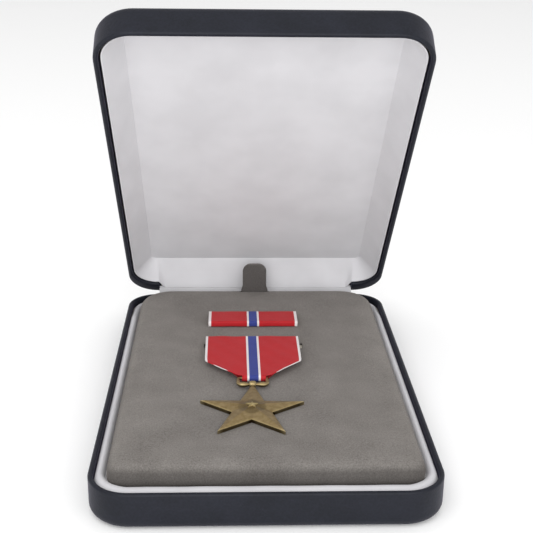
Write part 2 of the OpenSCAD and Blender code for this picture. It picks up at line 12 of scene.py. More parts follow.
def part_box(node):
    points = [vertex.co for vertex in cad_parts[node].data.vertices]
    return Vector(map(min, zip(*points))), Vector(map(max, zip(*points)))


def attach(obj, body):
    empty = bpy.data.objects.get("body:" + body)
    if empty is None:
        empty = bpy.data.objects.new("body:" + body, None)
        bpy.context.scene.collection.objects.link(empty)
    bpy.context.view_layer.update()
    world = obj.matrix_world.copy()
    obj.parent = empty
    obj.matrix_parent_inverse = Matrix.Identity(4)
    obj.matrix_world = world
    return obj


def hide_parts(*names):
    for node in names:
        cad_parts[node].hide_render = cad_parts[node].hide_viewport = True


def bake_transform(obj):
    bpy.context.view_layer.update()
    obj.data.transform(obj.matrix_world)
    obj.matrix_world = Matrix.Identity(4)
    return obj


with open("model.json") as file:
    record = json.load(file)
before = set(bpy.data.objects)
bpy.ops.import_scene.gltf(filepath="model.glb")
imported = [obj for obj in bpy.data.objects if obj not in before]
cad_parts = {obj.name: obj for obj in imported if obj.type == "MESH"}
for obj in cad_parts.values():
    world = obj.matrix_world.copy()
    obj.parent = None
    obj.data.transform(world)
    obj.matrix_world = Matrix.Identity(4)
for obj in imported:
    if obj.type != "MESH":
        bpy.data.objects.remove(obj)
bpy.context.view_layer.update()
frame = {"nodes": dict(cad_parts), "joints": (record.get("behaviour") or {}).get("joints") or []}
MM = 0.001
JOINTS = {joint["name"]: joint for joint in frame["joints"]}

# ------------------------------------------------------------------ camera
# Long lens, a little above and left of the open case, tipped 20 degrees down.
PITCH, YAW, ROLL = (math.radians(a) for a in (20.13, -2.21, 0.73))
FOCAL_MM, SENSOR_MM = 68.43, 36
CAMERA_AT = (-11.2 * MM, -332.5 * MM, 175.8 * MM)


def make_camera():
    """Forward is the yawed, pitched Y axis; right and up follow, rolled about forward."""
    forward = np.array([-math.sin(YAW) * math.cos(PITCH), math.cos(YAW) * math.cos(PITCH),
                        -math.sin(PITCH)])
    across = np.array([math.cos(YAW), math.sin(YAW), 0])
    lift = np.cross(across, forward)
    right = math.cos(ROLL) * across + math.sin(ROLL) * lift
    up = math.cos(ROLL) * lift - math.sin(ROLL) * across
    camera = bpy.data.objects.new("camera", bpy.data.cameras.new("camera"))
    bpy.context.scene.collection.objects.link(camera)
    turn = Matrix([list(row) for row in np.array([right, up, -forward]).T]).to_4x4()
    camera.matrix_world = Matrix.Translation(CAMERA_AT) @ turn
    camera.data.lens = FOCAL_MM
    camera.data.sensor_width = SENSOR_MM
    camera.data.clip_start = 0.01
    bpy.context.scene.camera = camera


make_camera()

# ------------------------------------------------------------------ sizes, in millimetres


def box_mm(node):
    """A CAD node's lowest and highest corners in millimetres."""
    low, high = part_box(node)
    return np.array(low) / MM, np.array(high) / MM


CASE_LOW, CASE_HIGH = box_mm("base_cover")
HALF_W = CASE_HIGH[0]
FRONT_Y, REAR_Y = CASE_LOW[1], CASE_HIGH[1]
RIM_Z = CASE_HIGH[2]
HINGE_Y, HINGE_Z = (JOINTS["lid_hinge"]["pos_m"][i] / MM for i in (1, 2))
OPENING = math.radians(-JOINTS["lid_hinge"]["range_deg"][0])

FRONT_R, REAR_R = 13.0, 12.0      # the case's corners, seen from above
EDGE_R = 3.5                      # the fillet between floor and wall
SKIN_T = 0.5                      # the leatherette
LIP_W = 1.7                       # the leatherette's lip on top of the wall
TURN_IN = 3.0                     # how far it runs down inside the wall
RIM_ROUND = 0.75
RECESS_DROP = 1.7                 # how much lower the rear rim is in the hinge's gap
REAR_RAIL = 5.4                   # the lid's rim beside the hinge

BEAD_SIDE_W, BEAD_FRONT_W, BEAD_REAR_W = 3.5, 6.4, 1.7
LINING_T = 0.4
LEAN = 7.5                        # how far the lid's lining leans in on its way down
PANEL_DEPTH = 10.2                # from the lid's rim to its panel
PANEL_HALF_W = HALF_W - LIP_W - LEAN
PANEL_Y = (FRONT_Y + LIP_W + LEAN, REAR_Y - REAR_RAIL - 5.4)
PANEL_R = 2
APRON_Y = REAR_Y - 2.1            # where the lid's lining ends behind the hinge
APRON_HALF_W, APRON_T = 41.7, 0.35

PAD_LOW, PAD_HIGH = box_mm("pad_cover")
PAD_TOP = PAD_HIGH[2]
PAD_EDGE_R = 4.0
PAD_REAR_Y = HINGE_Y - 4.7        # the suede is fuller at the rear than its CAD solid
PAD_CORNERS = (5.0, 13.0)         # radius of the front corners and of the rear ones
PAD_FOOT = ((0.5, 0), (0.15, 0.6), (0, 1.6))   # inset and height of the side's rings
PUFF = 0.6                        # the furthest that the cloth may swell
CUT_Z = (PAD_LOW[2] - 2, PAD_TOP + 3)          # a cutter that goes right through
POST_X, HOLE_HALF_W = 9, 0.75     # the bar's posts, either side of its middle
SLOT_HALF_H = 2.1                 # the slot for the brooch's pin
SLOT_ENDS = (3, 4.9)              # how far that slot runs past the pin's two ends

DRAPE_LOW, DRAPE_HIGH = box_mm("ribbon_drape")
DRAPE_X = (DRAPE_LOW[0] + DRAPE_HIGH[0]) / 2
DRAPE_TOP_Y = DRAPE_HIGH[1]
BROOCH_LOW = box_mm("brooch_plate")[0]
RIBBON_T = 0.35
SHOULDER_DROP = 21.8              # from the ribbon's top edge to where it starts to taper
NECK_HALF_W, FOLD_HALF_W, NECK_END = 6.0, 4.15, 0.55   # above the loop, in it, and between
LOOP_PIN = np.array(JOINTS["loop_swing"]["pos_m"]) / MM
STAR_PIN = np.array(JOINTS["star_swing"]["pos_m"]) / MM
STAR_R, STAR_DROP, STAR_TURN = 18.2, 17.5, math.radians(-1.8)
STAR_MIDDLE = (STAR_PIN[0] + STAR_DROP * math.sin(STAR_TURN),
               STAR_PIN[1] - STAR_DROP * math.cos(STAR_TURN), STAR_PIN[2])
BAR_LOW, BAR_HIGH = box_mm("ribbon_bar_ribbon")
BAR_X, BAR_Y = (BAR_LOW[0] + BAR_HIGH[0]) / 2, (BAR_LOW[1] + BAR_HIGH[1]) / 2
TAB_X, TAB_Y, TAB_BEND_Z = (v / MM for v in JOINTS["tab_fold"]["pos_m"])
TAB_TOP_Z = box_mm("pull_tab")[1][2] + 0.3
TAB_HALF_W, TAB_HALF_T, TAB_FLARE = 5.0, 0.6, 0.7
TAB_END = 3.6                     # the length of its rounded end
TAB_SLOT_HALF = (6.1, 0.9)

# ------------------------------------------------------------------ mesh helpers


def smooth_step(t):
    """3t^2 - 2t^3 between 0 and 1, flat outside."""
    t = np.clip(t, 0, 1)
    return t * t * (3 - 2 * t)


def to_lid(points):
    """Turns points drawn on the base over the rim plane and swings them open about the pin."""
    y = points[..., 1] - HINGE_Y
    z = HINGE_Z - points[..., 2]
    opened_y = y * math.cos(OPENING) + z * math.sin(OPENING)
    opened_z = z * math.cos(OPENING) - y * math.sin(OPENING)
    return np.stack([points[..., 0], HINGE_Y + opened_y, HINGE_Z + opened_z], -1)


def grid_faces(rows, columns, wrap_rows, wrap_columns):
    """Quads between neighbouring grid points, as an array of four indices each."""
    r = np.arange(rows if wrap_rows else rows - 1)[:, None]
    c = np.arange(columns if wrap_columns else columns - 1)[None, :]
    r2, c2 = (r + 1) % rows, (c + 1) % columns
    corners = [r * columns + c, r * columns + c2, r2 * columns + c2, r2 * columns + c]
    return np.stack(corners, -1).reshape(-1, 4)


def mesh_object(name, parts, smooth_angle=40):
    """One object from a list of (grid in millimetres, wrap_rows, wrap_columns); points that
    coincide are merged, which closes poles and seams, and faces are turned outwards."""
    points, faces, first = [], [], 0
    for grid, wrap_rows, wrap_columns in parts:
        points.append(grid.reshape(-1, 3) * MM)
        faces.append(grid_faces(*grid.shape[:2], wrap_rows, wrap_columns) + first)
        first += grid.shape[0] * grid.shape[1]
    mesh = bpy.data.meshes.new(name)
    mesh.from_pydata(np.concatenate(points), [], np.concatenate(faces))
    piece = bpy.data.objects.new(name, mesh)
    bpy.context.scene.collection.objects.link(piece)
    clean(piece, smooth_angle)
    return piece


def clean(piece, smooth_angle):
    """Merges doubled points, drops faces with no area, turns normals out, shades smooth."""
    work = bmesh.new()
    work.from_mesh(piece.data)
    bmesh.ops.remove_doubles(work, verts=work.verts, dist=1e-7)
    bmesh.ops.dissolve_degenerate(work, edges=work.edges, dist=1e-7)
    bmesh.ops.recalc_face_normals(work, faces=work.faces)
    work.to_mesh(piece.data)
    work.free()
    piece.data.shade_smooth()
    piece.data.set_sharp_from_angle(angle=math.radians(smooth_angle))


def apply_modifiers(piece):
    """Replaces the piece's mesh with its evaluated one."""
    graph = bpy.context.evaluated_depsgraph_get()
    graph.update()
    finished = bpy.data.meshes.new_from_object(piece.evaluated_get(graph))
    piece.modifiers.clear()
    piece.data = finished


def thicken(piece, thickness):
    """Gives a sheet its thickness in millimetres, half on each side."""
    modifier = piece.modifiers.new("thickness", "SOLIDIFY")
    modifier.thickness = thickness * MM
    modifier.offset = 0.0
    modifier.use_even_offset = True


def points_of(piece):
    """The mesh's points as an array."""
    points = np.empty(len(piece.data.vertices) * 3, np.float32)
    piece.data.vertices.foreach_get("co", points)
    return points.reshape(-1, 3).astype(float)


def cut_away(piece, cutters):
    """Subtracts closed cutter objects from the piece and removes them."""
    for cutter in cutters:
        modifier = piece.modifiers.new("cut", "BOOLEAN")
        modifier.operation = "DIFFERENCE"
        modifier.object = cutter
        modifier.solver = "EXACT"
    apply_modifiers(piece)
    for cutter in cutters:
        bpy.data.objects.remove(cutter)


# Shares along each straight side; the last steps crowd the ends of the hinge's gap.
SIDE_STEPS = np.linspace(0, 1, 33)[:-1]
REAR_STEPS = np.array([0, 0.004, 0.008, 0.02, 0.035, 0.05, 0.1, 0.2, 0.3, 0.4, 0.5, 0.6, 0.7, 0.8,
                       0.9, 0.95, 0.965, 0.98, 0.992, 0.996])
CORNER_STEPS = np.linspace(0, 1, 17)[:-1]


def outline(half_w, y0, y1, r_front, r_rear, gap_y1=None, gap=None):
    """Rounded rectangle, counter-clockwise from above: four straight sides and four quarter
    arcs. In the hinge's gap the rear side lies at gap_y1, weighted by gap."""
    xf, xr = half_w - r_front, half_w - r_rear
    yf, yr = y0 + r_front, y1 - r_rear
    arc = CORNER_STEPS * math.pi / 2

    def corner(cx, cy, r, start):
        return np.stack([cx + r * np.cos(arc + start), cy + r * np.sin(arc + start)], -1)

    def side(ax, ay, bx, by, steps):
        return np.stack([ax + (bx - ax) * steps, ay + (by - ay) * steps], -1)

    rear = side(xr, y1, -xr, y1, REAR_STEPS)
    if gap_y1 is not None:
        rear[:, 1] += (gap_y1 - y1) * gap
    return np.concatenate([
        side(half_w, yf, half_w, yr, SIDE_STEPS), corner(xr, yr, r_rear, 0),
        rear, corner(-xr, yr, r_rear, math.pi / 2),
        side(-half_w, yr, -half_w, yf, SIDE_STEPS), corner(-xf, yf, r_front, math.pi),
        side(-xf, y0, xf, y0, SIDE_STEPS), corner(xf, yf, r_front, math.pi * 1.5)])


def gap_columns(weight):
    """A weight on the rear side's columns, as one number for each column of an outline."""
    return np.concatenate([np.zeros(len(SIDE_STEPS) + len(CORNER_STEPS)), weight,
                           np.zeros(3 * len(CORNER_STEPS) + 2 * len(SIDE_STEPS))])


HARD_GAP = ((REAR_STEPS > 0.006) & (REAR_STEPS < 0.994)).astype(float)
SOFT_GAP = smooth_step(np.minimum(REAR_STEPS, 1 - REAR_STEPS) / 0.035)


def ring(inset, z, rear=None, gap_rear=None, gap_drop=0.0):
    """The case's outline, inset and lifted to z; it may lie further in at the rear, and it may
    lie elsewhere again, and lower, in the hinge's gap."""
    rear = inset if rear is None else rear
    gap_rear = rear if gap_rear is None else gap_rear
    flat = outline(HALF_W - inset, FRONT_Y + inset, REAR_Y - rear,
                   FRONT_R - inset, REAR_R - inset,
                   REAR_Y - gap_rear, HARD_GAP)
    return np.concatenate([flat, (z - gap_drop * gap_columns(HARD_GAP))[:, None]], -1)


def level(flat, z):
    """Lifts an outline to a height, which may be one number or one for each point."""
    return np.concatenate([flat, np.broadcast_to(z, len(flat))[:, None]], -1)


def shrink(edge, centre, shares):
    """Copies of a ring drawn in towards a centre, the last one a point where the share is 0."""
    shares = np.array(shares)[:, None, None]
    return centre + (edge[None] - centre) * shares


def ripple(points, lengths, heights, seed):
    """A sum of plane sine waves of the given wavelengths and heights, in seeded directions."""
    random = np.random.default_rng(seed)
    total = np.zeros(points.shape[:-1])
    for length, height in zip(lengths, heights):
        turn, phase = random.uniform(0, 2 * math.pi, 2)
        along = points[..., 0] * math.cos(turn) + points[..., 1] * math.sin(turn)
        total += height * np.sin(2 * math.pi * along / length + phase)
    return total


# ------------------------------------------------------------------ materials
BLUE_HALF, WHITE_HALF = 1.6, 2.35   # from the ribbon's middle to each stripe's edge
STRIPE_SPAN = 5.0                   # the ramp's reach; all beyond it is red
SELVEDGE_W, BAR_SELVEDGE_W = 0.9, 1.1
STRIPE_BLUR = 0.008                 # half of each stripe edge's width, as a share of the span
MEDALLION_SPAN = 10.0               # the reach of the ramp that darkens the star's middle
WAVE_UNIT = 0.314                   # a wave texture's period at a scale of 1


def linear(hex_colour):
    """sRGB hex to linear RGBA."""
    parts = [int(hex_colour[i:i + 2], 16) / 255 for i in (1, 3, 5)]
    return [c / 12.92 if c <= 0.04045 else ((c + 0.055) / 1.055) ** 2.4 for c in parts] + [1]


def grey(value):
    """A ramp's grey, from 0 to 1; 0 leaves a mask closed and 1 opens it."""
    return value, value, value, 1


def add(tree, kind, inputs=None, **settings):
    """Adds a node; inputs maps a socket to a value or to another node's output."""
    made = tree.nodes.new(kind)
    for key, value in settings.items():
        setattr(made, key, value)
    for key, value in (inputs or {}).items():
        if isinstance(value, bpy.types.NodeSocket):
            tree.links.new(value, made.inputs[key])
        else:
            made.inputs[key].default_value = value
    return made


def new_material(name, **values):
    """A material with one Principled shader, and its Object coordinates in millimetres."""
    material = bpy.data.materials.new(name)
    material.use_nodes = True
    tree = material.node_tree
    tree.nodes.clear()
    shader = add(tree, "ShaderNodeBsdfPrincipled",
                 {key.replace("_", " "): value for key, value in values.items()})
    add(tree, "ShaderNodeOutputMaterial", {"Surface": shader.outputs[0]})
    place = add(tree, "ShaderNodeTexCoord")
    mm = add(tree, "ShaderNodeMapping",
             {"Vector": place.outputs["Object"], "Scale": (1000, 1000, 1000)})
    return material, tree, shader, mm.outputs[0]


def ramp(tree, factor, stops, interpolation="LINEAR"):
    """A colour ramp from (position, colour) stops."""
    made = add(tree, "ShaderNodeValToRGB", {0: factor})
    made.color_ramp.interpolation = interpolation
    elements = made.color_ramp.elements
    while len(elements) < len(stops):
        elements.new(0.5)
    for element, (position, colour) in zip(elements, stops):
        element.position = position
        element.color = colour
    return made.outputs[0]


def two_tone(tree, factor, low, high):
    """A colour that runs between two hex colours over the middle of a factor's range."""
    return ramp(tree, factor, [(0.3, linear(low)), (0.7, linear(high))])


def bump(tree, shader, height, distance_mm, strength=1.0):
    """Bump from a height of 0 to 1 that stands for so many millimetres."""
    made = add(tree, "ShaderNodeBump", {"Height": height, "Distance": distance_mm * MM,
                                        "Strength": strength})
    tree.links.new(made.outputs[0], shader.inputs["Normal"])


def noise(tree, where, size_mm, detail=3.0, roughness=0.5):
    """Noise whose blobs are about size_mm across."""
    return add(tree, "ShaderNodeTexNoise", {"Vector": where, "Scale": 1 / size_mm,
                                            "Detail": detail, "Roughness": roughness}).outputs[0]


def mix(tree, factor, a, b, blend="MIX"):
    """Mixes two colours."""
    return add(tree, "ShaderNodeMix", {0: factor, 6: a, 7: b}, data_type="RGBA",
               blend_type=blend).outputs[2]


def math_node(tree, operation, a, b=0.0):
    """One arithmetic step."""
    return add(tree, "ShaderNodeMath", {0: a, 1: b}, operation=operation).outputs[0]


def make_leatherette():
    """Grained vinyl over board: fine pebble grain, soft broad highlights, a slight mottle."""
    material, tree, shader, mm = new_material(
        "navy_leatherette", Roughness=0.5, Specular_IOR_Level=0.2, Sheen_Weight=0.1,
        Sheen_Roughness=0.35, Sheen_Tint=linear("#8c80b8"))
    cells = add(tree, "ShaderNodeTexVoronoi", {"Vector": mm, "Scale": 1 / 0.75},
                feature="SMOOTH_F1")
    fine = noise(tree, mm, 0.22, 4)
    height = math_node(tree, "ADD", cells.outputs[0], math_node(tree, "MULTIPLY", fine, 0.5))
    bump(tree, shader, height, 0.06, 0.6)
    tone = math_node(tree, "ADD", math_node(tree, "MULTIPLY", noise(tree, mm, 9, 2), 0.6),
                     math_node(tree, "MULTIPLY", cells.outputs[0], 0.4))
    colour = two_tone(tree, tone, "#16181f", "#1e2029")
    tree.links.new(colour, shader.inputs["Base Color"])
    return material


def make_suede(name, low, high):
    """Short-nap suede: no highlight, a pale sheen at the edges, a speckled brushed nap; sides
    that slope or stand get painted shade, darker the less they face upwards."""
    material, tree, shader, mm = new_material(
        name, Roughness=0.95, Specular_IOR_Level=0.12, Sheen_Weight=0.22,
        Sheen_Roughness=0.5, Sheen_Tint=linear("#d8d0c8"))
    nap = noise(tree, mm, 0.45, 4, 0.75)
    brushed = noise(tree, mm, 13, 3, 0.5)
    mottled = math_node(tree, "ADD", math_node(tree, "MULTIPLY", nap, 0.75),
                        math_node(tree, "MULTIPLY", brushed, 0.25))
    colour = ramp(tree, mottled, [(0.34, linear(low)), (0.66, linear(high))])
    shape = add(tree, "ShaderNodeNewGeometry")
    facing = add(tree, "ShaderNodeSeparateXYZ", {0: shape.outputs["Normal"]}).outputs[2]
    # painted shade: the colour darkens towards #2e2b2a as the surface faces less upwards
    painted_slope_shade = ramp(tree, facing, [(0.35, grey(0.55)), (0.9, grey(0))])
    colour = mix(tree, painted_slope_shade, colour, linear("#2e2b2a"))
    tree.links.new(colour, shader.inputs["Base Color"])
    bump(tree, shader, nap, 0.14, 0.6)
    return material


def make_satin():
    """White satin over card: silky low gloss and faint pulled wrinkles across the width."""
    material, tree, shader, mm = new_material(
        "white_satin", Roughness=0.62, Specular_IOR_Level=0.3, Sheen_Weight=0.2,
        Sheen_Roughness=0.4)
    stretched = add(tree, "ShaderNodeMapping", {"Vector": mm, "Scale": (0.06, 1, 1)})
    pulls = noise(tree, stretched.outputs[0], 2.2, 3)
    thread = add(tree, "ShaderNodeTexWave", {"Vector": mm, "Scale": WAVE_UNIT / 0.5,
                                             "Distortion": 1.0}, bands_direction="X")
    height = math_node(tree, "ADD", pulls, math_node(tree, "MULTIPLY", thread.outputs[1], 0.08))
    bump(tree, shader, height, 0.16, 0.35)
    tone = noise(tree, mm, 14, 2)
    colour = two_tone(tree, tone, "#c6c5c8", "#cecdd0")
    tree.links.new(colour, shader.inputs["Base Color"])
    return material


RED, BLUE, WHITE = "#a91d23", "#313c80", "#d8d2d2"


def make_ribbon(name, centre_x):
    """Woven silk: crosswise ribs 0.4 mm apart, a soft sheen, and dyed stripes by the distance
    from the ribbon's middle; the white selvedge follows the cut edge by its own attribute."""
    material, tree, shader, mm = new_material(
        name, Roughness=0.6, Specular_IOR_Level=0.2, Sheen_Weight=0.1, Sheen_Roughness=0.35)
    parts = add(tree, "ShaderNodeSeparateXYZ", {0: mm})
    across = math_node(tree, "ABSOLUTE", math_node(tree, "SUBTRACT", parts.outputs[0], centre_x))
    share = math_node(tree, "DIVIDE", across, STRIPE_SPAN)
    stops = [(0, linear(BLUE))]
    for edge, inner, outer in ((BLUE_HALF, BLUE, WHITE), (WHITE_HALF, WHITE, RED)):
        stops += [(edge / STRIPE_SPAN - STRIPE_BLUR, linear(inner)),
                  (edge / STRIPE_SPAN + STRIPE_BLUR, linear(outer))]
    striped = ramp(tree, share, stops)
    edge = add(tree, "ShaderNodeAttribute", attribute_name="selvedge").outputs["Fac"]
    white = ramp(tree, edge, [(0.42, grey(1)), (0.58, grey(0))])
    dyed = mix(tree, white, striped, linear(WHITE))
    rib = add(tree, "ShaderNodeTexWave",
              {"Vector": mm, "Scale": WAVE_UNIT / 0.4, "Distortion": 0.4, "Detail": 1.0},
              bands_direction="Y").outputs[1]
    warp = add(tree, "ShaderNodeTexWave", {"Vector": mm, "Scale": WAVE_UNIT / 0.22,
                                           "Distortion": 0.3}, bands_direction="X").outputs[1]
    weave = math_node(tree, "ADD", rib, math_node(tree, "MULTIPLY", warp, 0.4))
    worn = math_node(tree, "MULTIPLY", noise(tree, mm, 2.5, 3), 0.3)
    shaded = mix(tree, math_node(tree, "SUBTRACT", worn, math_node(tree, "MULTIPLY", rib, 0.12)),
                 dyed, linear("#ffffff"), "SOFT_LIGHT")
    tree.links.new(shaded, shader.inputs["Base Color"])
    bump(tree, shader, weave, 0.05, 0.5)
    return material


def make_metal(name, low, high, roughness, grain_mm, dark=None, medallion=None):
    """Metal with its tone mottled between two colours. If dark is given, the hollows keep that
    dark colour as an antique finish, the sides that stand up get it as painted shade, and the
    edges are worn bright; medallion is the middle of a disc that stays darker too."""
    material, tree, shader, mm = new_material(name, Metallic=1.0, Roughness=roughness)
    tone = noise(tree, mm, grain_mm, 4)
    colour = two_tone(tree, tone, low, high)
    if dark:
        shape = add(tree, "ShaderNodeNewGeometry")
        hollow = ramp(tree, shape.outputs["Pointiness"], [(0.44, grey(1)), (0.5, grey(0))])
        worn = ramp(tree, shape.outputs["Pointiness"], [(0.52, grey(0)), (0.6, grey(1))])
        facing = add(tree, "ShaderNodeSeparateXYZ", {0: shape.outputs["Normal"]}).outputs[2]
        # painted shade: sides that stand up take the dark colour by their facing, not from the
        # light
        painted_side_shade = ramp(tree, facing, [(0.3, grey(1)), (0.6, grey(0))])
        patina_and_side_shade = math_node(tree, "MAXIMUM", hollow, painted_side_shade)
        if medallion:
            away = add(tree, "ShaderNodeVectorMath", {0: mm, 1: medallion},
                       operation="DISTANCE").outputs["Value"]
            disc = ramp(tree, math_node(tree, "DIVIDE", away, MEDALLION_SPAN),
                        [(0.2, grey(0.55)), (0.42, grey(0.4)), (0.5, grey(0))])
            patina_and_side_shade = math_node(tree, "MAXIMUM", patina_and_side_shade, disc)
        colour = mix(tree, patina_and_side_shade, colour, linear(dark))
        colour = mix(tree, math_node(tree, "MULTIPLY", worn, 0.6), colour, linear("#cdbd92"))
    tree.links.new(colour, shader.inputs["Base Color"])
    rough = math_node(tree, "ADD", math_node(tree, "MULTIPLY", noise(tree, mm, 0.5), 0.2),
                      roughness - 0.1)
    tree.links.new(rough, shader.inputs["Roughness"])
    bump(tree, shader, noise(tree, mm, 0.3, 3), 0.02, 0.4)
    return material


def make_board(name, low, high, grain_mm):
    """Pressed card, foam or moulding compound: dull, with a fine random grain."""
    material, tree, shader, mm = new_material(name, Roughness=0.9, Specular_IOR_Level=0.2)
    tone = noise(tree, mm, grain_mm, 5)
    colour = two_tone(tree, tone, low, high)
    tree.links.new(colour, shader.inputs["Base Color"])
    bump(tree, shader, tone, 0.1, 0.5)
    return material


LEATHERETTE = make_leatherette()
SUEDE = make_suede("grey_suede", "#5b5754", "#84807c")
# a slightly darker copy of the suede, used on the pull tab
DARK_SUEDE = make_suede("grey_suede_darker_copy", "#5c5856", "#7b7775")
SATIN = make_satin()
# the last colour is the patina in the hollows and also the painted shade on the standing sides
BRONZE_TONES = ("#927e55", "#ad9970", 0.4, 1.5, "#40331f")
BRONZE = make_metal("antiqued_bronze", *BRONZE_TONES)
STAR_BRONZE = make_metal("antiqued_bronze_star", *BRONZE_TONES, medallion=STAR_MIDDLE)
WORN_BRONZE = make_metal("antiqued_bronze_worn", "#a39268", "#b5a47a", 0.36, 1.0)
BRASS = make_metal("stamped_brass", "#b8964e", "#cfae66", 0.34, 2.0)
STEEL = make_metal("drawn_steel", "#b4b4b6", "#cfcfd2", 0.3, 1.0)
CARD = make_board("pressed_card", "#a8977c", "#bfae92", 0.6)
FOAM = make_board("open_cell_foam", "#cfc9ba", "#e2dccd", 0.5)
CORE = make_board("moulded_core", "#b9b2a4", "#c9c2b4", 1.2)


def finish_piece(piece, material, body, slot, *nodes):
    """Gives a piece its material and its body, and hides the CAD nodes that it stands for; slot is
    not used.
    """
    piece.data.materials.clear()
    piece.data.materials.append(material)
    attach(piece, body)
    if nodes:
        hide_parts(*nodes)
    return piece


# ------------------------------------------------------------------ case


def arc_steps(count):
    """Angles of a quarter turn."""
    return np.linspace(0, math.pi / 2, count)


def full_turn(count):
    """Angles of a whole turn, which starts again after the last one."""
    return np.linspace(0, 2 * math.pi, count + 1)[:-1]


def cover_rings(rear):
    """The leatherette's section carried round the case: underside, edge fillet, wall, rolled
    rim, lip, the edge turned in, then back along the inside. rear is the rear rail's width."""
    half = [ring(EDGE_R * (1 - math.sin(a)), EDGE_R * (1 - math.cos(a))) for a in arc_steps(9)]
    low = RIM_Z - RIM_ROUND
    drop = {"gap_drop": RECESS_DROP}
    outer = [ring(0, z, **drop) for z in (RIM_Z - TURN_IN, RIM_Z - TURN_IN / 2)]
    outer += [ring(RIM_ROUND * (1 - math.cos(a)), low + RIM_ROUND * math.sin(a), **drop)
              for a in arc_steps(7)]

    def lip(inset, z):
        return ring(inset, z, rear - LIP_W + inset, inset, **drop)

    inner = [lip(LIP_W - RIM_ROUND * (1 - math.sin(a)), low + RIM_ROUND * math.cos(a))
             for a in arc_steps(7)]
    inner += [lip(LIP_W, RIM_Z - TURN_IN), lip(LIP_W - SKIN_T, RIM_Z - TURN_IN)]
    back = [ring(LIP_W - SKIN_T, RIM_Z - 2 * SKIN_T, rear=rear - SKIN_T, gap_rear=LIP_W - SKIN_T,
                 **drop), ring(SKIN_T, RIM_Z - 2 * SKIN_T, **drop),
            ring(SKIN_T, RIM_Z - TURN_IN, **drop)]
    small = EDGE_R - SKIN_T
    back += [ring(SKIN_T + small * (1 - math.cos(a)), SKIN_T + small * (1 - math.sin(a)))
             for a in arc_steps(7)]
    return half, outer + inner + back


def make_cover(name, rear, place):
    """A closed skin: both faces of the floor are shrunk rings that end in a point."""
    half, rest = cover_rings(rear)
    centre = np.array([0, 0, 0.0])
    bottom = shrink(half[0], centre, np.linspace(0, 0.97, 12))
    top = shrink(rest[-1], centre + [0, 0, SKIN_T], np.linspace(0.97, 0, 12))
    rings = np.concatenate([bottom, np.array(half + rest), top])
    return mesh_object(name, [(place(rings), False, True)], 50)


def make_bead():
    """White bead round the pad: a half-round strip between the lip and the pad, wider in
    front. Its height is the square root of a sine over most of its width, then a groove
    beside the pad, and the whole bead sinks towards the rear."""
    gap, squeeze = 0.05, 1.12         # squeeze ends the arch early, which leaves the groove
    foot_z, height, under_z = RIM_Z - 2.9, 2.1, RIM_Z - 6
    sink, sink_from, sink_run = 1.3, 24, 12
    rows = []
    for share in np.linspace(0, 1, 15):
        inset = LIP_W + gap + (BEAD_SIDE_W - gap) * share
        flat = outline(HALF_W - inset, FRONT_Y + LIP_W + gap + BEAD_FRONT_W * share,
                       REAR_Y - LIP_W - 0.15 - BEAD_REAR_W * share, FRONT_R - inset, REAR_R - inset)
        arch = math.sqrt(math.sin(math.pi * min(share * squeeze, 1)) + 1e-9)
        puckers = 0.05 * np.sin(np.arange(len(flat)) * 0.9) * math.sin(math.pi * share)
        sunk = sink * smooth_step((flat[:, 1] - REAR_Y + sink_from) / sink_run)
        rows.append(level(flat, foot_z + height * arch + puckers - sunk
                          - 0.4 * gap_columns(SOFT_GAP)))
    under = [rows[-1] * [1, 1, 0] + [0, 0, under_z], rows[0] * [1, 1, 0] + [0, 0, under_z]]
    return mesh_object("lining_bead", [(np.array(rows + under), True, True)], 60)


def make_lid_lining():
    """Sloped walls of the lid: each column runs from below the rim to the panel's edge, a
    little hollow in the middle, with small ripples where the satin is pulled; the back
    follows a thickness outside it."""
    clear, drop, gap_rise, sag = 1.1, 1.3, 0.8, 0.35
    rows = []
    for grow in (0, LINING_T):
        inset = LIP_W + clear - grow
        top = outline(HALF_W - inset, FRONT_Y + inset, REAR_Y - REAR_RAIL - 0.5 + grow,
                      FRONT_R - inset, REAR_R - inset, APRON_Y + grow, SOFT_GAP)
        low = outline(PANEL_HALF_W + grow, PANEL_Y[0] - grow, PANEL_Y[1] + grow,
                      PANEL_R, PANEL_R)
        top = level(top, RIM_Z - drop + gap_rise * gap_columns(SOFT_GAP))
        low = level(low, RIM_Z - PANEL_DEPTH - grow)
        shares = np.linspace(0, 1, 17)[:, None, None]
        side = top + (low - top) * shares
        hollow = np.sin(math.pi * shares[..., 0])
        side[..., 2] -= hollow * (sag + ripple(side, (23, 11, 7), (0.06, 0.05, 0.03), 3))
        rows.append(side if grow == 0 else side[::-1])
    return mesh_object("lid_lining_walls", [(to_lid(np.concatenate(rows)), True, True)], 35)


def make_lid_panel():
    """Satin panel: rings from its edge, a little under the lining's, to its middle, very
    slightly crowned and rippled, closed by a flat back."""
    under = 0.3
    edge = outline(PANEL_HALF_W + under, PANEL_Y[0] - under, PANEL_Y[1] + under,
                   PANEL_R + under, PANEL_R + under)
    centre = np.array([0, (PANEL_Y[0] + PANEL_Y[1]) / 2, RIM_Z - PANEL_DEPTH])
    shares = np.linspace(1, 0, 60)
    front = shrink(level(edge, RIM_Z - PANEL_DEPTH), centre, shares)
    crown = smooth_step((1 - shares) * 9)[:, None]
    front[..., 2] += crown * (0.2 + ripple(front, (31, 17, 9), (0.08, 0.05, 0.03), 5))
    back = shrink(level(edge, RIM_Z - PANEL_DEPTH - LINING_T), centre - [0, 0, LINING_T],
                  np.linspace(0, 1, 9))
    return mesh_object("lid_panel_satin", [(to_lid(np.concatenate([back, front])), False, True)],
                       35)


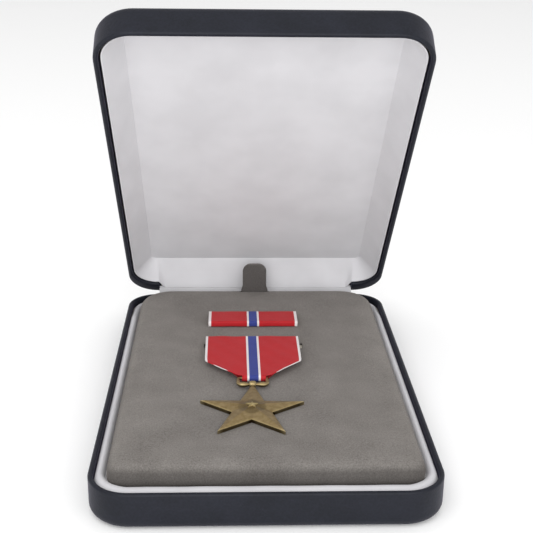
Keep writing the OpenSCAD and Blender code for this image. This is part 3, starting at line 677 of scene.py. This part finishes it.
def make_hinge_apron():
    """Satin apron over the hinge: a parabola from behind the pad to the lid's lining, the
    same all along X apart from ripples, with its back a thickness behind it."""
    rows, columns = 15, 80
    x = np.linspace(-APRON_HALF_W, APRON_HALF_W, columns)
    lid_edge = to_lid(np.array([0, APRON_Y - 0.1, RIM_Z - 1.2]))[1:]
    foot = np.array([HINGE_Y - 2.9, RIM_Z - 1.8])
    middle = np.array([HINGE_Y - 2.3, (foot[1] + lid_edge[1]) / 2])
    t = np.linspace(0, 1, rows)[:, None]
    path = foot * (1 - t) ** 2 + 2 * middle * t * (1 - t) + lid_edge * t ** 2
    grid = np.stack([np.broadcast_to(x, (rows, columns)),
                     *(np.repeat(path[:, i:i + 1], columns, 1) for i in (0, 1))], -1)
    grid[..., 1] += 0.12 * np.sin(x * 0.55) * np.sin(math.pi * t)
    section = np.concatenate([grid, grid[::-1] + [0, APRON_T, 0]])
    ends = [np.repeat(section[:, i:i + 1].mean(0, keepdims=True), 2 * rows, 0) for i in (0, -1)]
    return mesh_object("hinge_apron", [(np.concatenate([ends[0], section, ends[1]], 1),
                                        True, False)], 60)


base_skin = make_cover("base_leatherette", LIP_W, lambda points: points)
finish_piece(base_skin, LEATHERETTE, "base", "leatherette", "base_cover")
lid_skin = make_cover("lid_leatherette", REAR_RAIL, to_lid)
finish_piece(lid_skin, LEATHERETTE, "lid", "leatherette", "lid_cover")
finish_piece(make_bead(), SATIN, "base", "lining_satin", "base_lining")
finish_piece(make_lid_lining(), SATIN, "lid", "lining_satin", "lid_lining")
finish_piece(make_lid_panel(), SATIN, "lid", "lining_satin", "lid_panel")
apron = make_hinge_apron()
apron.data.materials.append(SATIN)
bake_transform(apron)

# ------------------------------------------------------------------ pad and tab


def box_cutter(name, low, high):
    """A closed box between two corners, as a ring of four points swept in Z."""
    (x0, y0, z0), (x1, y1, z1) = low, high
    flat = np.array([[x0, y0], [x1, y0], [x1, y1], [x0, y1]])
    bottom, top = (level(flat, z) for z in (z0, z1))
    ends = [np.tile([*flat.mean(0), z], (4, 1)) for z in (z0, z1)]
    return mesh_object(name, [(np.array([ends[0], bottom, top, ends[1]]), False, True)], 10)


def make_pad():
    """Suede pad: side, quarter-round edge and an almost flat top with a soft unevenness."""
    half_w = PAD_HIGH[0]
    y0, y1 = PAD_LOW[1], PAD_REAR_Y
    rf, rr = PAD_CORNERS

    def pad_ring(inset, z):
        flat = outline(half_w - inset, y0 + inset, y1 - inset, rf - inset, rr - inset)
        return level(flat, z)

    low = PAD_LOW[2]
    sides = [pad_ring(inset, low + height) for inset, height in PAD_FOOT]
    edge = [pad_ring(PAD_EDGE_R * (1 - math.cos(a)), PAD_TOP - PAD_EDGE_R * (1 - math.sin(a)))
            for a in arc_steps(13)]
    centre = np.array([0, (y0 + y1) / 2, 0])
    shares = np.linspace(1, 0, 70)[1:]
    top = shrink(edge[-1] * [1, 1, 0], centre, shares)
    top[..., 2] = PAD_TOP
    settled = smooth_step((1 - shares) * 6)[:, None]
    top[..., 2] += settled * ripple(top, (61, 37, 19, 11), (0.05, 0.04, 0.025, 0.015), 8)
    bottom = shrink(sides[0] * [1, 1, 0], centre, np.linspace(0, 0.95, 8))
    bottom[..., 2] = low
    rings = np.concatenate([bottom, np.array(sides + edge), top])
    return mesh_object("suede_pad", [(rings, False, True)], 60)


def inflate(piece, voxel, pressure, frames):
    """Blows the pad up as cloth, held at its foot and wherever the insignia press on it, and
    lets no point move further than PUFF. voxel is its new mesh's step in millimetres."""
    remesh = piece.modifiers.new("remesh", "REMESH")
    remesh.mode = "VOXEL"
    remesh.voxel_size = voxel * MM
    apply_modifiers(piece)
    rest = points_of(piece)
    x, y, z = (rest / MM).T
    pressed = np.zeros(len(rest), bool)
    for node in ("ribbon_bar_ribbon", "ribbon_drape", "star_pendant", "suspension_loop"):
        low, high = box_mm(node)
        inside = (x > low[0] - 1) & (x < high[0] + 1) & (y > low[1] - 1) & (y < high[1] + 1)
        pressed |= inside & (z > PAD_TOP - 2)
    held = pressed | (z < PAD_LOW[2] + 1.5)
    group = piece.vertex_groups.new(name="held")
    group.add(np.flatnonzero(held).tolist(), 1.0, "REPLACE")
    cloth = piece.modifiers.new("cloth", "CLOTH")
    cloth.settings.vertex_group_mass = "held"
    cloth.settings.use_pressure = True
    cloth.settings.uniform_pressure_force = pressure
    cloth.settings.effector_weights.gravity = 0
    cloth.settings.tension_stiffness = 30
    cloth.settings.bending_stiffness = 5
    scene = bpy.context.scene
    for number in range(1, frames + 1):
        scene.frame_set(number)
    apply_modifiers(piece)
    scene.frame_set(1)
    piece.vertex_groups.clear()
    moved = points_of(piece) - rest
    length = np.linalg.norm(moved, axis=1, keepdims=True) + 1e-12
    capped = rest + moved * np.minimum(1, PUFF * MM / length)
    piece.data.vertices.foreach_set("co", capped.astype(np.float32).ravel())
    smooth = piece.modifiers.new("smooth", "SMOOTH")
    smooth.factor = 0.5
    smooth.iterations = 4
    divide = piece.modifiers.new("divide", "SUBSURF")
    divide.levels = divide.render_levels = 1
    apply_modifiers(piece)


pad = make_pad()
inflate(pad, voxel=1.7, pressure=2.0, frames=20)
pin_low, pin_high = box_mm("pin_stem")
pin_y = (pin_low[1] + pin_high[1]) / 2
slot = box_cutter("pin_slot", (pin_low[0] - SLOT_ENDS[0], pin_y - SLOT_HALF_H, CUT_Z[0]),
                  (pin_high[0] + SLOT_ENDS[1], pin_y + SLOT_HALF_H, CUT_Z[1]))
holes = [box_cutter(f"post_hole_{i}", (x - HOLE_HALF_W, BAR_Y - HOLE_HALF_W, CUT_Z[0]),
                    (x + HOLE_HALF_W, BAR_Y + HOLE_HALF_W, CUT_Z[1]))
         for i, x in enumerate([BAR_X - POST_X, BAR_X + POST_X])]
tab_slot = box_cutter("tab_slot",
                      (TAB_X - TAB_SLOT_HALF[0], TAB_Y - TAB_SLOT_HALF[1], PAD_LOW[2] + 1.6),
                      (TAB_X + TAB_SLOT_HALF[0], TAB_Y + TAB_SLOT_HALF[1], CUT_Z[1]))
cut_away(pad, [slot, *holes, tab_slot])
clean(pad, 60)
finish_piece(pad, SUEDE, "pad", "suede", "pad_cover")


def make_tab():
    """Suede strap: a thin rounded section carried up Z. It flares near the pad and closes in
    a quarter circle on each side of its top."""
    foot_z = PAD_LOW[2] + 1.8
    z = np.concatenate([np.linspace(foot_z, TAB_TOP_Z - TAB_END, 26),
                        TAB_TOP_Z - TAB_END + TAB_END * np.sin(arc_steps(14))[1:]])
    close = np.clip((z - TAB_TOP_Z + TAB_END) / TAB_END, 0, 1)
    half = TAB_HALF_W - TAB_END * (1 - np.sqrt(1 - close ** 2 + 1e-12))
    half += TAB_FLARE * (1 - smooth_step((z - PAD_TOP) / 3.0)) * (z > foot_z)
    thick = TAB_HALF_T * np.sqrt(np.clip((TAB_TOP_Z - z) / TAB_HALF_T + 1e-9, 0, 1)) + 1e-4
    turn = full_turn(32)
    section_x = np.sign(np.cos(turn)) * np.abs(np.cos(turn)) ** 0.45
    section_y = np.sign(np.sin(turn)) * np.abs(np.sin(turn)) ** 0.75
    x = TAB_X + half[:, None] * section_x
    y = TAB_Y + thick[:, None] * section_y
    rows = np.stack([x, y, np.broadcast_to(z[:, None], x.shape)], -1)
    foot = np.tile(rows[0].mean(0), (1, 32, 1))
    head = np.tile(rows[-1].mean(0), (1, 32, 1))
    return mesh_object("pull_tab_suede", [(np.concatenate([foot, rows, head]), False, True)], 70)


tab = make_tab()
tab.data.materials.append(DARK_SUEDE)
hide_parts("pull_tab", "pull_tab_tail")
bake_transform(tab)

# ------------------------------------------------------------------ ribbons


def strip(name, path, half_widths, centre_x, selvedge, columns=81, wave=0.0):
    """A ribbon along a path in the YZ plane: each row spans centre_x plus or minus its
    half-width. selvedge is the white edge's width on the left and right of each row; the
    attribute of that name is above a half where the ribbon is dyed. wave scales a ripple."""
    dyed_from, blur = 0.6, 0.6
    across = np.linspace(-1, 1, columns)
    x = centre_x + np.outer(half_widths, across)
    y = np.repeat(path[:, :1], columns, 1)
    z = np.repeat(path[:, 1:], columns, 1)
    grid = np.stack([x, y, z], -1)
    grid[..., 2] += wave * ripple(grid, (17, 9, 6), (0.5, 0.3, 0.2), 4)
    piece = mesh_object(name, [(grid, False, False)], 50)
    white = np.where(across < 0, selvedge[:, :1], selvedge[:, 1:])
    rim = dyed_from + (np.outer(half_widths, 1 - np.abs(across)) - white) / blur
    mark = piece.data.attributes.new("selvedge", "FLOAT", "POINT")
    mark.data.foreach_set("value", np.clip(rim, 0, 1).astype(np.float32).ravel())
    thicken(piece, RIBBON_T)
    return piece


def make_drape():
    """The medal's ribbon: tucked behind the brooch plate, over its top edge, down the front,
    round the loop's upper bar and up behind. It tapers from its shoulders to the loop along
    straight folds, where the white edge turns under and thins out."""
    half_w = (DRAPE_HIGH[0] - DRAPE_LOW[0]) / 2
    front_z = DRAPE_HIGH[2] - RIBBON_T / 2
    loop_y, loop_z = LOOP_PIN[1], LOOP_PIN[2]
    bend_r = front_z - loop_z
    tucked, rounding, back_inset = 1.5, 0.0025, 0.2
    tuck_z = BROOCH_LOW[2] - RIBBON_T
    wrap_r = (front_z - tuck_z) / 2
    wrap_y = DRAPE_TOP_Y - wrap_r
    turn = np.linspace(-math.pi / 2, math.pi / 2, 13)
    tuck = np.stack([np.linspace(wrap_y - tucked, wrap_y, 4)[:-1], np.full(3, tuck_z)], -1)
    wrap = np.stack([wrap_y + wrap_r * np.cos(turn), (front_z + tuck_z) / 2
                     + wrap_r * np.sin(turn)], -1)
    down = np.linspace(wrap_y, loop_y, 90)[1:]
    front = np.stack([down, np.full(len(down), front_z)], -1)
    bend = np.stack([loop_y - bend_r * np.cos(turn[::-1]), loop_z + bend_r * np.sin(turn[::-1])],
                    -1)[1:]
    up = np.linspace(loop_y, BROOCH_LOW[1] - 1.2, 40)[1:]
    back = np.stack([up, np.full(len(up), loop_z - bend_r)], -1)
    shoulder_y = DRAPE_TOP_Y - SHOULDER_DROP

    def taper(y):
        share = (shoulder_y - y) / (shoulder_y - loop_y - NECK_END)
        return np.clip((share + np.sqrt(share ** 2 + rounding)) / 2, 0, 1)

    def width(y):
        body = half_w - (half_w - NECK_HALF_W) * taper(y)
        return body - (body - FOLD_HALF_W) * smooth_step((loop_y + NECK_END - y) / NECK_END)

    path = np.concatenate([tuck, wrap, front, bend, back])
    straight = len(tuck) + len(wrap)
    spread = FOLD_HALF_W + (up - loop_y) * 0.6
    back_w = np.where(up < loop_y + 6, spread, np.minimum(width(up - 5.5), spread))
    widths = np.concatenate([np.full(straight, half_w), width(down),
                             np.full(len(bend), FOLD_HALF_W),
                             np.minimum(back_w - back_inset, half_w - 1.0)])
    on_side = 1 - smooth_step(taper(down) / 0.1)
    showing = (np.sin(math.pi * np.clip((taper(down) - 0.25) / 0.5, 0, 1)) * 0.2,
               np.sqrt(np.clip(1 - taper(down) / 0.85, 0, 1)) * 0.3)
    white = np.maximum(SELVEDGE_W * on_side, np.array(showing)).T
    selvedge = np.concatenate([np.full((straight, 2), SELVEDGE_W), white,
                               np.zeros((len(bend) + len(back), 2))])
    return strip("medal_ribbon", path, widths, DRAPE_X, selvedge, wave=0.14)


def make_bar_ribbon():
    """The bar's ribbon: a flat loop round the plate with small round edges, open below."""
    half_h = (BAR_HIGH[1] - BAR_LOW[1]) / 2 - RIBBON_T / 2
    low, high = BAR_LOW[2] + RIBBON_T / 2, BAR_HIGH[2] - RIBBON_T / 2
    r, tail = 0.5, 2.2
    turn = arc_steps(7)
    upper = np.stack([half_h - r + r * np.cos(turn), high - r + r * np.sin(turn)], -1)
    lower = np.stack([half_h - r + r * np.sin(turn), low + r - r * np.cos(turn)], -1)
    right = np.concatenate([[[half_h - tail, low]], lower, upper])
    top = np.stack([np.linspace(half_h - r, r - half_h, 24)[1:-1], np.full(22, high)], -1)
    path = np.concatenate([right, top, right[::-1] * [-1, 1]]) + [BAR_Y, 0]
    half_w = (BAR_HIGH[0] - BAR_LOW[0]) / 2
    return strip("bar_ribbon", path, np.full(len(path), half_w), BAR_X,
                 np.full((len(path), 2), BAR_SELVEDGE_W), wave=0.05)


drape = make_drape()
finish_piece(drape, make_ribbon("striped_silk_medal", DRAPE_X), "medal", "ribbon",
             "ribbon_drape")
bar_ribbon = make_bar_ribbon()
finish_piece(bar_ribbon, make_ribbon("striped_silk_bar", BAR_X), "pad", "ribbon",
             "ribbon_bar_ribbon")

# ------------------------------------------------------------------ star and loop


def make_loop():
    """Cast loop: a flattened circle carried round a rectangle with round corners. The lower
    bar is fuller on each side of the eyelet, as a sine of the distance from the middle."""
    wide, tall, r = 5.0, 2.5, 1.2
    wire_r, fuller, flattened = 0.6, 0.42, 0.85
    arc = arc_steps(9)
    quarters = [(wide - r, tall - r), (r - wide, tall - r), (r - wide, r - tall),
                (wide - r, r - tall)]
    path, outward = [], []
    for quarter, centre in enumerate(quarters):
        a = arc + quarter * math.pi / 2
        outward.append(np.stack([np.cos(a), np.sin(a)], -1))
        path.append(np.array(centre) + r * outward[-1])
    bar_x = np.linspace(r - wide, wide - r, 25)[1:-1]
    lower = np.stack([bar_x, np.full(23, -tall)], -1)
    path = np.concatenate(path[:3] + [lower] + path[3:])
    outward = np.concatenate(outward[:3] + [np.tile([0.0, -1.0], (23, 1))] + outward[3:])
    lobe = np.sin(np.clip((np.abs(path[:, 0]) - 1.4) / 3.9, 0, 1) * math.pi)
    wire = wire_r + fuller * lobe * (path[:, 1] < -1.2)
    turn = full_turn(16)
    flat = path[:, None] + wire[:, None, None] * np.cos(turn)[None, :, None] * outward[:, None]
    z = (wire[:, None] * np.sin(turn))[..., None] * flattened
    rows = np.concatenate([flat, z], -1) + [LOOP_PIN[0], LOOP_PIN[1] - tall, LOOP_PIN[2]]
    return mesh_object("suspension_loop_cast", [(rows, True, True)], 60)


def star_surface(radius, edge, top, base, per_ray, bevel):
    """A ridged star: the outline is a straight-sided pentagram, and the height falls in a
    straight line from the middle to the edge along every direction, so each ray has a ridge
    and each notch a valley; past the bevel's start the face drops to the rim, and the last
    rows close underneath."""
    steps = np.arange(10 * per_ray)
    corner = steps // per_ray
    share = (steps % per_ray) / per_ray
    notch = 0.382                     # a pentagram's inner corners, as a share of its radius
    radii = np.where(np.arange(11) % 2 == 0, radius, radius * notch)
    angles = math.pi / 2 + np.arange(11) * math.pi / 5
    points = radii[:, None] * np.stack([np.cos(angles), np.sin(angles)], -1)
    flat = points[corner] + (points[corner + 1] - points[corner]) * share[:, None]
    face = [(s, top + (edge - top) * s) for s in np.linspace(0, bevel, 20)]
    rim = edge + (edge - top) * (bevel - 1)
    side = [(0.3 + 0.7 * bevel, rim - 0.05), (1.0, rim - 0.38), (1.0, 0.2), (0.99, 0.0),
            (0.5, 0.0), (0.0, 0.0)]
    return np.array([level(flat * s, z) for s, z in face + side]) + [0, 0, base]


def make_star():
    """The star, its small raised star and the eyelet that hangs on the loop's lower bar."""
    low, high = box_mm("star_pendant")
    big = star_surface(STAR_R, edge=1.4, top=2.8, base=0, per_ray=12, bevel=0.9)
    small = star_surface(2.2, edge=0.7, top=1.3, base=2.3, per_ray=6, bevel=0.9)
    cosine, sine = math.cos(STAR_TURN), math.sin(STAR_TURN)
    spin = np.array([[cosine, sine, 0], [-sine, cosine, 0], [0, 0, 1]])
    placed = [(grid + [0, -STAR_DROP, 0]) @ spin + [STAR_PIN[0], STAR_PIN[1], low[2]]
              for grid in (big, small)]
    body = mesh_object("bronze_star", [(placed[0], False, True)], 28)
    cutter = box_cutter("star_tip_cut", (STAR_PIN[0] - 5, STAR_PIN[1] - 0.9, low[2] - 2),
                        (STAR_PIN[0] + 5, STAR_PIN[1] + 6, high[2] + 4))
    cut_away(body, [cutter])
    ring_turn, section = full_turn(32), full_turn(12)
    half_w, ring_r, wire_r = 1.1, 1.05, 0.32
    r = ring_r + wire_r * np.cos(section)
    grid = np.stack([np.broadcast_to(half_w * np.sin(section), (32, 12)),
                     np.outer(np.cos(ring_turn), r), np.outer(np.sin(ring_turn), r)], -1)
    eyelet = mesh_object("star_eyelet", [(grid + STAR_PIN, True, True)], 60)
    raised = mesh_object("star_raised_centre", [(placed[1], False, True)], 28)
    return body, eyelet, raised


finish_piece(make_loop(), BRONZE, "loop", "bronze", "suspension_loop")
star_body, star_eyelet, star_centre = make_star()
finish_piece(star_body, STAR_BRONZE, "star", "bronze", "star_pendant")
finish_piece(star_eyelet, BRONZE, "star", "bronze")
finish_piece(star_centre, WORN_BRONZE, "star", "bronze")

# ------------------------------------------------------------------ CAD nodes that show
NODE_FINISHES = {
    "base_shell": CORE, "lid_shell": CORE, "base_riser": CARD, "pad_board": CARD,
    "pad_foam": FOAM, "hinge_leaf_base": BRASS, "hinge_leaf_lid": BRASS, "hinge_pin": BRASS,
    "hinge_spring": STEEL, "ribbon_bar_plate": BRASS, "clutch_left": BRASS,
    "clutch_right": BRASS, "brooch_plate": BRASS, "pin_joint": BRASS, "pin_rivet": BRASS,
    "catch_housing": BRASS, "catch_lock": BRASS, "pin_stem": STEEL}
for node_name, finish in NODE_FINISHES.items():
    mesh = frame["nodes"][node_name].data
    mesh.materials.clear()
    mesh.materials.append(finish)

# ------------------------------------------------------------------ floor and light


def make_floor():
    """A plain white table top."""
    half_w, front, rear = 2500.0, -2500.0, 4000.0
    corners = np.array([[[-half_w, y, 0], [half_w, y, 0]] for y in (front, rear)])
    floor = mesh_object("floor", [(corners, False, False)])
    material = new_material("white_table", Base_Color=linear("#ffffff"), Roughness=0.9)[0]
    floor.data.materials.append(material)


def make_light(name, place, aim, size, power):
    """A square soft light at place, facing aim, in metres and watts."""
    lamp = bpy.data.lights.new(name, "AREA")
    lamp.size = size
    lamp.energy = power
    light = bpy.data.objects.new(name, lamp)
    bpy.context.scene.collection.objects.link(light)
    light.location = place
    away = Vector(np.array(place) - np.array(aim))
    light.rotation_euler = away.to_track_quat("Z", "Y").to_euler()


make_floor()
make_light("key", (-0.5, -0.9, 1.5), (0, 0, 0), 1.2, 8)
make_light("fill", (0.7, -1.2, 0.7), (0, 0, 0.05), 1.2, 5)
make_light("front", (-0.15, -1.4, 0.35), (0, 0.08, 0.05), 1.0, 10.5)
world = bpy.data.worlds.new("studio")
bpy.context.scene.world = world
world.use_nodes = True
background = world.node_tree.nodes["Background"]
background.inputs["Color"].default_value = grey(1)
background.inputs["Strength"].default_value = 0.8
bpy.context.scene.view_settings.view_transform = "Standard"
